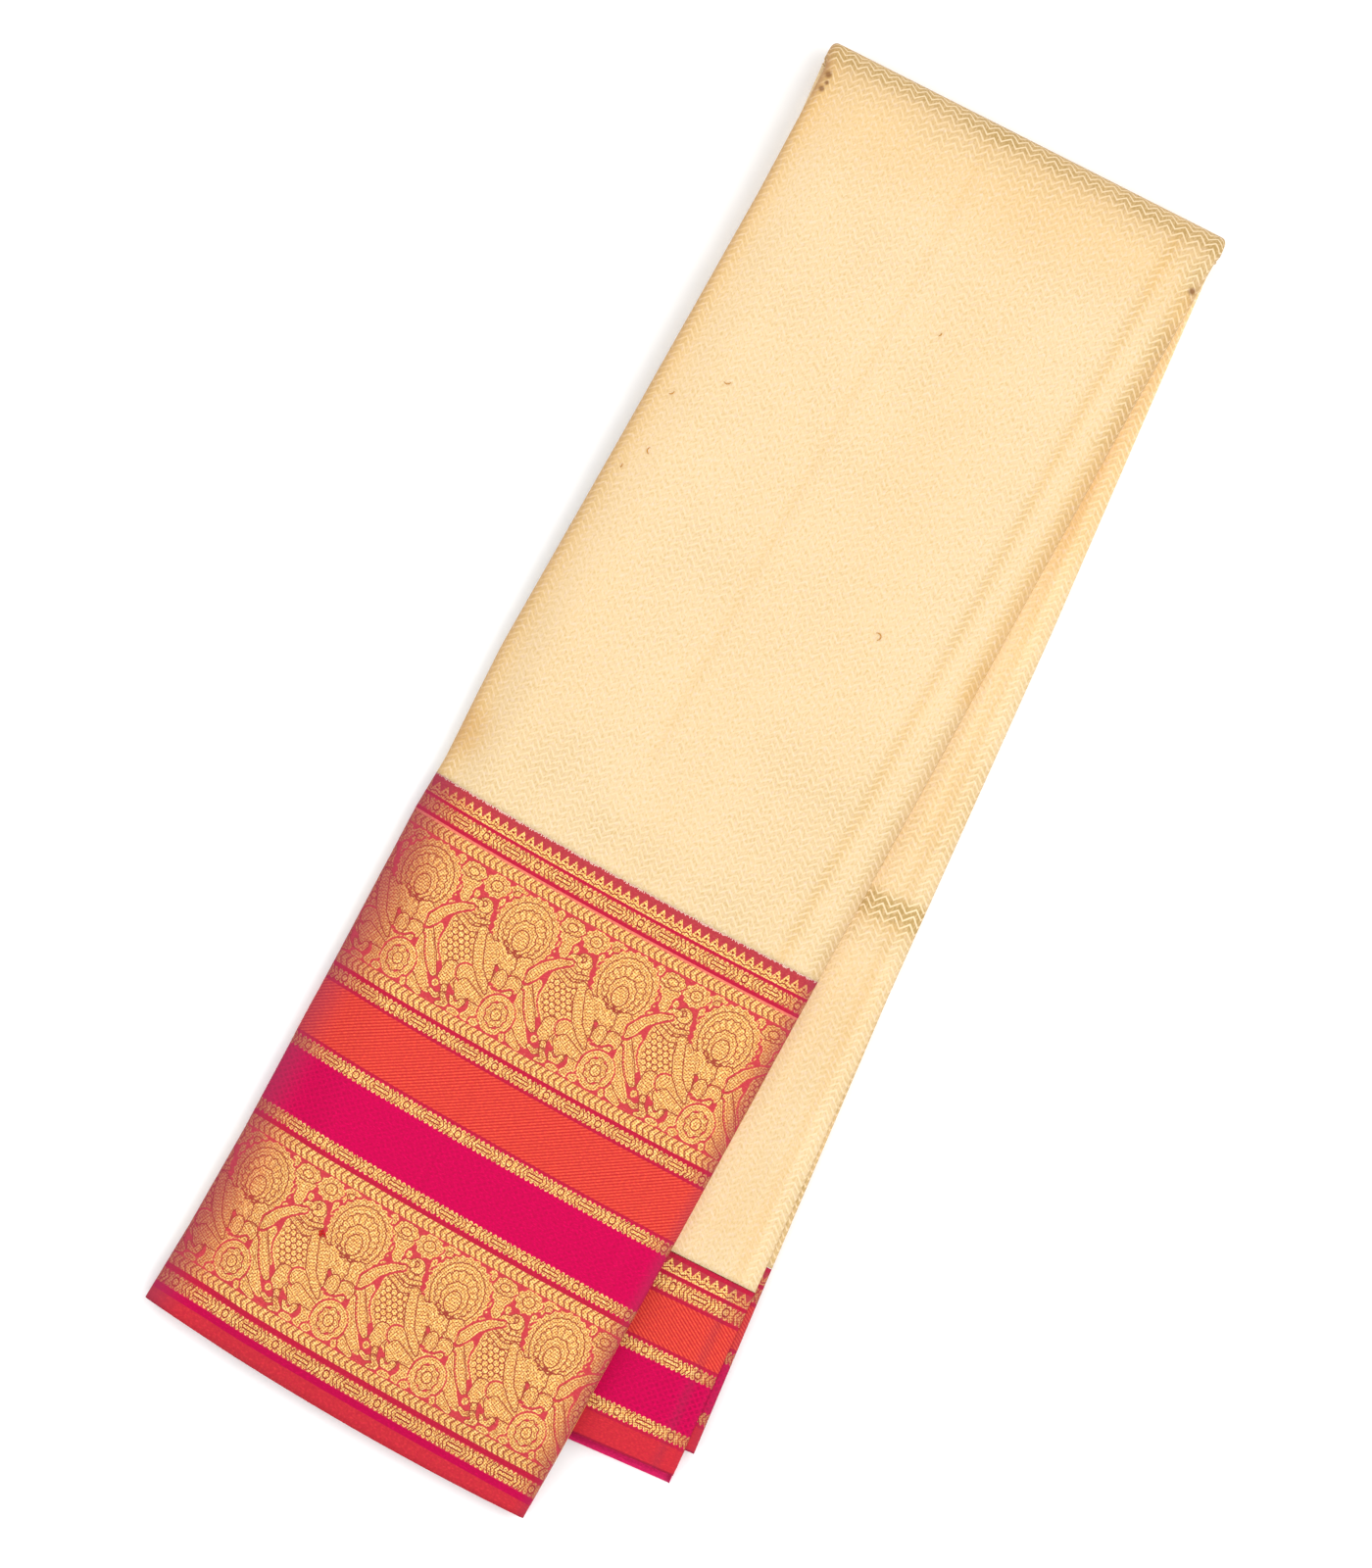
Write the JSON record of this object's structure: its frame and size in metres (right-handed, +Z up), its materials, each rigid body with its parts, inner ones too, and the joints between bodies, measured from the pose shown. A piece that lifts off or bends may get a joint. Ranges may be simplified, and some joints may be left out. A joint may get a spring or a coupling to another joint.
{
  "type": "folded silk sari",
  "caption": "Handloom silk sari folded into a long flat pack and once over a round top fold, with a wide and a narrow woven border.",
  "frame": {"origin": "on the surface that the sari lies on, under the middle of the whole pack", "axes": "+X across the pack towards the side where the back leg shows, +Y from the hems to the top fold, +Z up"},
  "size_m": [0.2324, 0.609, 0.024],
  "materials": {
    "body_silk": "cream mulberry silk brocade with pale gold zari weft, soft sheen",
    "border_silk": "crimson and magenta silk with raised antique-gold zari figures",
    "narrow_border_silk": "orange, magenta and crimson silk bands with gold zari vines",
    "layered_silk": "edges of the hidden layers of the same cream silk"
  },
  "bodies": {
    "root": {"outer_leaf_front": "body_silk", "wide_border": "border_silk", "outer_leaf_crown": "body_silk", "outer_leaf_under": "body_silk", "under_border": "narrow_border_silk", "inner_leaf_front": "body_silk", "inner_wide_border": "border_silk", "inner_leaf_back": "body_silk", "narrow_border": "narrow_border_silk", "slipped_leaf": "body_silk", "slipped_border": "narrow_border_silk", "folded_layers": "layered_silk"}
  },
  "joints": []
}
